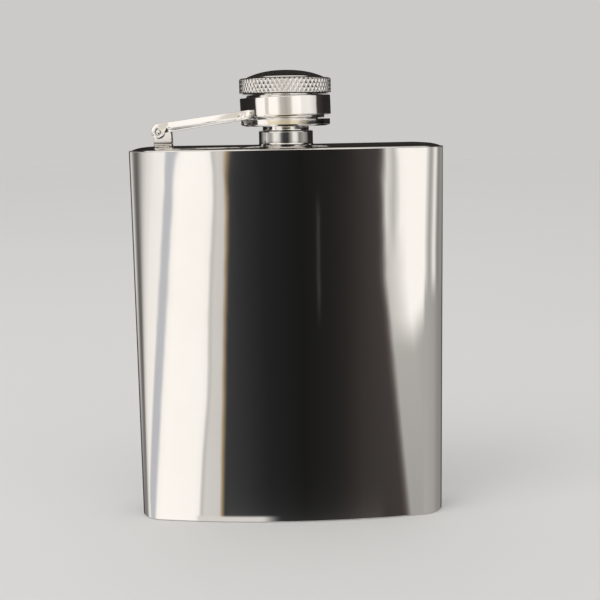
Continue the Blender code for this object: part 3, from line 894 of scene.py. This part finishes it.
def painted_wall_reflection(z, s):
    """Painted reflection: display tones along the wall at the height z, for the arc lengths s."""
    strips, slit, shift = painted_reflection_strips(z)
    lower = 0.71 - 0.010 * np.clip(s - 35, 0, 20)
    edge_height = 56 + 1.6 * (s - 36)
    upper = 0.975
    panel_start = slit + 7.8
    share = smoothstep(edge_height - 9, edge_height + 7, z)
    panel = lower + (upper - lower) * share
    places = np.array([p for p, _, _ in strips])
    tones = np.array([tone * colour for _, tone, colour in strips])
    places = np.append(places, [slit + 1.6, slit + 3.7, slit + 5.7, panel_start])
    at = np.interp(panel_start, s, panel)
    base = np.interp(panel_start, s, lower)
    high = smoothstep(78, 95, z)
    bands = np.array([0.76 + 0.09 * high, 0.816 - 0.106 * high, 0.886 + 0.067 * high, upper])
    extra = base + (bands - base) * (at - base) / (upper - base)
    tones = np.vstack([tones, extra[:, None] * WHITE])
    out = np.stack([np.interp(s, places, tones[:, c]) for c in range(3)], axis=1)
    right = s > panel_start
    out[right] = (panel[:, None] * WHITE)[right]
    # painted reflection at the right corner, from s = 41 on: upper and lower strip tables, mixed
    # between the heights 66 and 78
    high = smoothstep(66, 78, z)
    upper_strips = [(41.0, 0.975), (42.6, 0.63), (43.2, 0.66), (44.3, 0.92), (44.9, 0.84),
                    (45.7, 0.56), (46.4, 0.50), (47.0, 0.55), (48.4, 0.545), (49.0, 0.46),
                    (49.6, 0.32), (50.6, 0.14)]
    lower_strips = [(41.0, 0.66), (43.0, 0.64), (44.6, 0.62), (46.3, 0.545), (48.4, 0.525),
                    (49.0, 0.42), (49.6, 0.29), (50.6, 0.14)]
    a = np.interp(s, [p + shift for p, _ in upper_strips], [t for _, t in upper_strips])
    b = np.interp(s, [p for p, _ in lower_strips], [t for _, t in lower_strips])
    corner = (a * high + b * (1 - high))[:, None] * WHITE
    take = smoothstep(40.8, 41.6, s)[:, None]
    out = out * (1 - take) + corner * take
    # painted highlight: a faint thin bright line at s = 9, between the heights 58 and 104
    painted_glint_line = np.exp(-((s - 9.0) / 0.5) ** 2) * smoothstep(58, 74, z) * (1 - smoothstep(92, 104, z))
    out = out + 0.11 * painted_glint_line[:, None]
    # painted reflection: the dark middle, from s = -22 to 30, a little lighter near the foot
    dark = smoothstep(-22, -19, s) * (1 - smoothstep(26, 30, s))
    out = out + 0.07 * math.exp(-z / 5.0) * dark[:, None]
    # painted highlight: a bright line along the foot, below the height 2.4, from s = -30 to -10,
    # fading out by -3
    along = smoothstep(-30.5, -29, s) * (1 - smoothstep(-10, -3, s))
    bright = (1 - smoothstep(1.5, 2.4, z)) * along
    out = out * (1 - bright[:, None]) + 0.82 * WHITE * bright[:, None]
    return out


def emission(name):
    material = bpy.data.materials.new(name)
    material.use_nodes = True
    tree = material.node_tree
    tree.nodes.clear()
    colour = tree.nodes.new("ShaderNodeAttribute")
    colour.attribute_name = "light"
    glow = tree.nodes.new("ShaderNodeEmission")
    out = tree.nodes.new("ShaderNodeOutputMaterial")
    tree.links.new(colour.outputs["Color"], glow.inputs["Color"])
    tree.links.new(glow.outputs["Emission"], out.inputs["Surface"])
    return material


def only_reflected(thing):
    thing.visible_camera = False
    thing.visible_diffuse = False
    thing.visible_shadow = False
    return thing


def painted_reflection_tent():
    """A bowl of painted reflection strips round the front, which isn't plain light.

    Each point lies where the wall mirrors CAMERA, so the strips line up from there only and
    slide in any other view.
    """
    points, normals, lengths = section(420, 260)
    order = np.argsort(lengths)
    points, normals, lengths = points[order], normals[order], lengths[order]
    keep = np.abs(lengths) < 51.0
    points, normals, lengths = points[keep], normals[keep], lengths[keep]
    camera = np.array(CAMERA)
    heights = list(np.linspace(0.15, 4.0, 12)) + list(np.linspace(5.0, 114.5, 57))
    full_rows = len(heights)
    heights += [116.0, 117.5, 119.0]
    verts = []
    colours = []
    for z in heights:
        wall = np.column_stack([points, np.full(len(points), z)])
        ray = wall - camera
        ray /= np.linalg.norm(ray, axis=1)[:, None]
        n3 = np.column_stack([normals, np.zeros(len(points))])
        facing = -(ray * n3).sum(axis=1)
        bounce = ray + 2 * facing[:, None] * n3
        flat = np.linalg.norm(bounce[:, :2], axis=1)
        drop = -bounce[:, 2] / flat
        reach = (z - 0.05) / (0.35 + drop)
        spot = wall + bounce * (reach / flat)[:, None]
        verts.append(spot)
        colours.append(to_light(painted_wall_reflection(z, lengths)))
    columns = np.where(facing > 0.02)[0]
    verts = np.array(verts)[:, columns]
    colours = np.array(colours)[:, columns]
    rows, count = verts.shape[:2]
    flat_verts = verts.reshape(-1, 3)
    lengths = lengths[columns]
    faces = [face for face in quads(rows, count, False, False)
             if face[2] < full_rows * count or abs(lengths[face[0] % count]) < 38.0]
    mesh = bpy.data.meshes.new("painted_reflection_tent")
    mesh.from_pydata((flat_verts * MM).tolist(), [], faces)
    layer = mesh.color_attributes.new("light", "FLOAT_COLOR", "POINT")
    flat_colours = np.column_stack([colours.reshape(-1, 3), np.ones(rows * count)])
    layer.data.foreach_set("color", flat_colours.ravel())
    mesh.materials.append(emission("tent_painted_reflection"))
    thing = bpy.data.objects.new("painted_reflection_tent", mesh)
    bpy.context.scene.collection.objects.link(thing)
    return only_reflected(thing)


painted_reflection_tent()


# Painted reflection tones round the cap's line, seen only in the steel, for the collar, the thread
# and the flange: (angle in degrees, tone, colour).
COLLAR_STRIPS = [(-126, 0.10, BROWN), (-112, 0.50, WHITE), (-98, 0.70, WHITE), (-86, 0.83, WHITE),
                 (-72, 0.60, WHITE), (-60, 0.62, WHITE), (-47, 0.93, WHITE), (-29, 0.86, WHITE),
                 (-18, 0.40, COOL), (-9, 0.22, COOL), (8, 0.22, COOL), (20, 0.60, WHITE),
                 (32, 0.94, WHITE), (44, 0.88, WHITE), (54, 0.48, WHITE), (76, 0.62, WHITE),
                 (92, 0.50, WHITE), (104, 0.08, BROWN)]
THREAD_STRIPS = [(-126, 0.05, COOL), (-68, 0.08, COOL), (-66, 0.97, WHITE), (-52, 0.97, WHITE),
                 (-50, 0.30, COOL), (-47, 0.30, COOL), (-45, 0.97, WHITE), (-22, 0.92, WHITE),
                 (-14, 0.15, COOL), (18, 0.15, COOL), (26, 0.92, WHITE), (36, 0.90, WHITE),
                 (46, 0.30, COOL), (104, 0.05, COOL)]
FLANGE_STRIPS = [(-126, 0.07, BROWN), (-70, 0.20, CREAM), (-67, 0.98, WHITE), (-44, 0.98, WHITE),
                 (-40, 0.90, STRAW), (-22, 0.86, STRAW), (-6, 0.76, STRAW), (6, 0.74, STRAW),
                 (14, 0.87, STRAW), (26, 0.84, STRAW), (36, 0.62, STRAW), (48, 0.52, STRAW),
                 (54, 0.10, CREAM), (104, 0.05, BROWN)]


# Painted reflection tones for the ring: (angle in degrees, tone, colour).
RING_STRIPS = [(-126, 0.14, BROWN), (-73, 0.16, BROWN), (-70, 0.93, WHITE), (-66, 0.98, WHITE),
               (-48, 1.0, WHITE), (-46, 0.83, CREAM), (-39, 0.82, CREAM), (-37.5, 1.0, WHITE),
               (-19, 1.0, WHITE), (-15, 0.90, CREAM), (-10, 0.73, CREAM), (2, 0.66, CREAM),
               (11, 0.76, CREAM), (17, 0.98, WHITE), (34, 1.0, WHITE), (37, 0.92, WHITE),
               (56, 0.93, WHITE), (74, 0.82, WHITE), (78, 0.24, BROWN), (104, 0.14, BROWN)]


def painted_reflection_card():
    """A half-round card close in front, with painted reflection strips for the neck, the rim and
    the ring.
    """
    reach = 60.0
    rows = [(BODY_TOP - 0.45, COLLAR_STRIPS, 0.15), (BODY_TOP + 0.5, COLLAR_STRIPS, 0.25),
            (BODY_TOP + 1.1, COLLAR_STRIPS, 1.0), (BODY_TOP + 4.75, COLLAR_STRIPS, 1.0),
            (BODY_TOP + 4.95, THREAD_STRIPS, 1.0), (BODY_TOP + 6.1, THREAD_STRIPS, 1.0),
            (BODY_TOP + 6.3, FLANGE_STRIPS, 1.0), (BODY_TOP + 8.45, FLANGE_STRIPS, 1.0),
            (BODY_TOP + 8.65, RING_STRIPS, 1.0), (BODY_TOP + 29.0, RING_STRIPS, 1.0)]
    first, last = -126, 104
    turns = np.linspace(first, last, last - first + 1)
    verts = []
    colours = []
    for z, strips, share in rows:
        places = [p for p, _, _ in strips]
        light = np.array([to_light(tone * colour) for _, tone, colour in strips]) * share
        for degrees in turns:
            a = math.radians(degrees)
            verts.append((reach * math.sin(a) * MM, (AXIS_Y - reach * math.cos(a)) * MM, z * MM))
            colours.append([np.interp(degrees, places, light[:, c]) for c in range(3)] + [1.0])
    mesh = bpy.data.meshes.new("painted_reflection_card")
    mesh.from_pydata(verts, [], quads(len(rows), len(turns), False, False))
    layer = mesh.color_attributes.new("light", "FLOAT_COLOR", "POINT")
    layer.data.foreach_set("color", np.array(colours).ravel())
    mesh.materials.append(emission("card_painted_reflection"))
    thing = bpy.data.objects.new("painted_reflection_card", mesh)
    bpy.context.scene.collection.objects.link(thing)
    return only_reflected(thing)


painted_reflection_card()


def floor():
    steps, rings, reach = 96, 40, 3.0
    verts = [(0, 0, 0)]
    faces = []
    for i in range(1, rings + 1):
        r = reach * (i / rings) ** 2.2
        for j in range(steps):
            a = 2 * math.pi * j / steps
            verts.append((r * math.cos(a), r * math.sin(a), 0))
    faces += [(0, 1 + j, 1 + (j + 1) % steps) for j in range(steps)]
    for i in range(rings - 1):
        base = 1 + i * steps
        for j in range(steps):
            k = (j + 1) % steps
            faces.append((base + j, base + steps + j, base + steps + k, base + k))
    mesh = bpy.data.meshes.new("floor")
    mesh.from_pydata(verts, [], faces)
    material = bpy.data.materials.new("floor_paper")
    material.use_nodes = True
    tree = material.node_tree
    shader = tree.nodes["Principled BSDF"]
    shader.inputs["Roughness"].default_value = 0.9
    shader.inputs["Specular IOR Level"].default_value = 0.1
    coords = tree.nodes.new("ShaderNodeTexCoord").outputs["Object"]
    cloud = noise(tree, coords, 6.0, 4.0)
    tree.links.new(tint(tree, cloud, (0.80, 0.795, 0.785), (0.775, 0.77, 0.76)),
                   shader.inputs["Base Color"])
    mesh.materials.append(material)
    thing = bpy.data.objects.new("floor", mesh)
    bpy.context.scene.collection.objects.link(thing)


floor()


def ramp_of(tree, value, stops, low, high):
    """A colour ramp over low to high; stops are (place, strength, colour)."""
    ramp = tree.nodes.new("ShaderNodeValToRGB")
    elements = ramp.color_ramp.elements
    while len(elements) > 1:
        elements.remove(elements[-1])
    for k, (place, strength, colour) in enumerate(stops):
        position = (place - low) / (high - low)
        element = elements[0] if k == 0 else elements.new(position)
        element.position = position
        element.color = (*(min(1.0, strength * c) for c in colour), 1)
    tree.links.new(spread(tree, value, low, high, 0, 1), ramp.inputs["Fac"])
    return ramp.outputs["Color"]


def mix_colour(tree, factor, a, b):
    mix = tree.nodes.new("ShaderNodeMix")
    mix.data_type = "RGBA"
    for socket, value in ((mix.inputs["A"], a), (mix.inputs["B"], b)):
        if isinstance(value, tuple):
            socket.default_value = value
        else:
            tree.links.new(value, socket)
    tree.links.new(factor, mix.inputs["Factor"])
    return mix.outputs["Result"]


def world():
    """Pale for the eye and for matt surfaces; what steel mirrors past the tent is painted
    reflection, in bands.
    """
    scene_world = bpy.data.worlds.new("studio")
    bpy.context.scene.world = scene_world
    scene_world.use_nodes = True
    tree = scene_world.node_tree
    tree.nodes.clear()
    out = tree.nodes.new("ShaderNodeOutputWorld")
    direction = tree.nodes.new("ShaderNodeTexCoord").outputs["Generated"]
    parts = tree.nodes.new("ShaderNodeSeparateXYZ")
    tree.links.new(direction, parts.inputs["Vector"])
    x, y, z = parts.outputs
    azimuth = combine(tree, x, combine(tree, y, -1.0, "MULTIPLY"), "ARCTAN2")
    # Painted reflection bands by azimuth, seen only by glossy rays: (degrees, tone, colour).
    bands = [(-180, 0.16, BROWN), (-100, 0.14, BROWN), (-73, 0.16, BROWN), (-70, 0.93, WHITE),
             (-66, 0.98, WHITE), (-48, 1.0, WHITE), (-46, 0.83, CREAM), (-39, 0.82, CREAM),
             (-37, 1.0, WHITE), (-23, 0.98, WHITE), (-21, 0.74, WHITE), (-17, 0.72, WHITE),
             (-14.5, 0.24, COOL), (-5, 0.14, COOL), (3, 0.11, WHITE), (15, 0.18, BROWN),
             (20, 0.26, BROWN), (22, 0.85, WHITE), (25, 0.72, WHITE), (29, 0.97, WHITE),
             (34, 1.0, WHITE), (37, 0.92, WHITE), (56, 0.93, WHITE), (74, 0.82, WHITE),
             (78, 0.24, BROWN), (100, 0.14, BROWN), (180, 0.16, BROWN)]
    strength = 1.3
    stops = [(place * math.pi / 180, 1.0 / strength, to_light(tone * colour))
             for place, tone, colour in bands]
    painted_low_band = ramp_of(tree, azimuth, stops, -math.pi, math.pi)
    # painted reflection above: lighter towards the front, darker towards the back
    painted_top_reflection = mix_colour(tree, spread(tree, y, -0.3, 0.7, 0, 1),
                           (0.86, 0.84, 0.81, 1), (0.24, 0.23, 0.215, 1))
    lift = combine(tree, z, combine(tree, y, -0.5, "MULTIPLY"))
    mirrored = mix_colour(tree, spread(tree, lift, 0.66, 0.86, 0, 1), painted_low_band, painted_top_reflection)
    bright = tree.nodes.new("ShaderNodeBackground")
    bright.inputs["Strength"].default_value = strength
    tree.links.new(mirrored, bright.inputs["Color"])
    pale = tree.nodes.new("ShaderNodeBackground")
    pale.inputs["Color"].default_value = (0.80, 0.795, 0.785, 1)
    pale.inputs["Strength"].default_value = 0.95
    backdrop = tree.nodes.new("ShaderNodeBackground")
    backdrop.inputs["Color"].default_value = (*FAR_TONE, 1)
    # Camera rays see the plain backdrop, glossy rays the painted reflection, other rays the pale
    # light.
    path = tree.nodes.new("ShaderNodeLightPath")
    mix = tree.nodes.new("ShaderNodeMixShader")
    tree.links.new(path.outputs["Is Glossy Ray"], mix.inputs[0])
    tree.links.new(pale.outputs[0], mix.inputs[1])
    tree.links.new(bright.outputs[0], mix.inputs[2])
    seen = tree.nodes.new("ShaderNodeMixShader")
    tree.links.new(path.outputs["Is Camera Ray"], seen.inputs[0])
    tree.links.new(mix.outputs[0], seen.inputs[1])
    tree.links.new(backdrop.outputs[0], seen.inputs[2])
    tree.links.new(seen.outputs[0], out.inputs["Surface"])


world()


def lamp(name, place, target, size, power):
    data = bpy.data.lights.new(name, "AREA")
    data.size = size
    data.energy = power
    thing = bpy.data.objects.new(name, data)
    bpy.context.scene.collection.objects.link(thing)
    thing.location = place
    aim = Vector(target) - Vector(place)
    thing.rotation_euler = aim.to_track_quat("-Z", "Y").to_euler()
    thing.visible_glossy = False
    return thing


lamp("soft_key", (-0.55, -0.45, 0.95), (0, 0, 0.05), 0.6, 2.2)


def camera():
    data = bpy.data.cameras.new("camera")
    data.sensor_width = 36.0
    data.lens = LENS
    data.clip_start = 0.01
    thing = bpy.data.objects.new("camera", data)
    bpy.context.scene.collection.objects.link(thing)
    turn = (Matrix.Rotation(CAMERA_YAW, 3, "Z") @ Matrix.Rotation(CAMERA_PITCH, 3, "X")
            @ Matrix.Rotation(CAMERA_ROLL, 3, "Y"))
    right, forward, up = turn.col[0], turn.col[1], turn.col[2]
    rotation = Matrix((right, up, -forward)).transposed()
    thing.matrix_world = Matrix.Translation(CAMERA * MM) @ rotation.to_4x4()
    bpy.context.scene.camera = thing


camera()
bpy.context.scene.view_settings.view_transform = "Standard"
